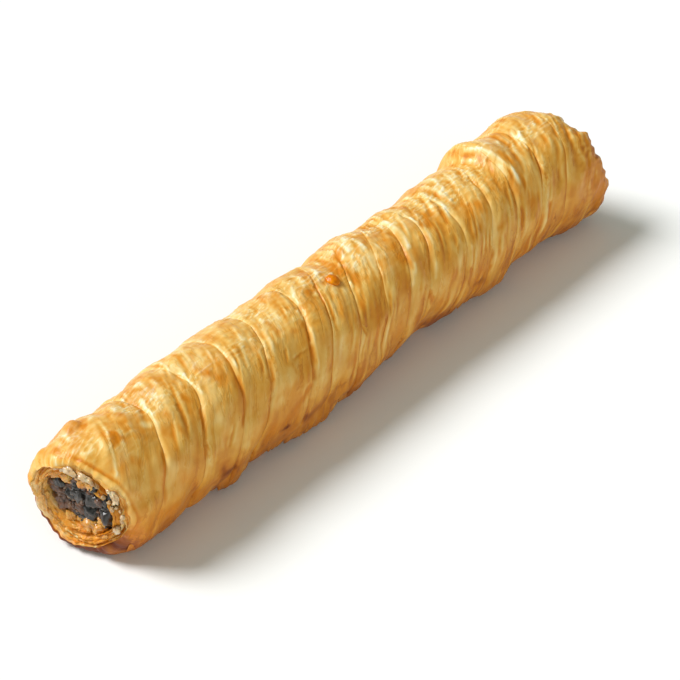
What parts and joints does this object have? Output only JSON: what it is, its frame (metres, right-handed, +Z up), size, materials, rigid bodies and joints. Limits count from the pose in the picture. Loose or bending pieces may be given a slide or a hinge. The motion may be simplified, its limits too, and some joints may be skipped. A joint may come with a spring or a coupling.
{
  "type": "borek",
  "caption": "Baked borek roll: a pleated tube of crisp flaky pastry round a dark minced filling that shows at both open ends.",
  "frame": {"origin": "middle of the footprint, on the flat underside the roll rests on", "axes": "+X along the roll from the mouth with the pointed flap to the other mouth, +Z up, away from the flat underside"},
  "size_m": [0.227, 0.0416, 0.0398],
  "materials": {
    "baked_pastry": "flaky, buttered, golden brown",
    "minced_filling": "coarse, moist, dark brown"
  },
  "bodies": {
    "root": {"pastry": "baked_pastry", "filling": "minced_filling"}
  },
  "joints": []
}
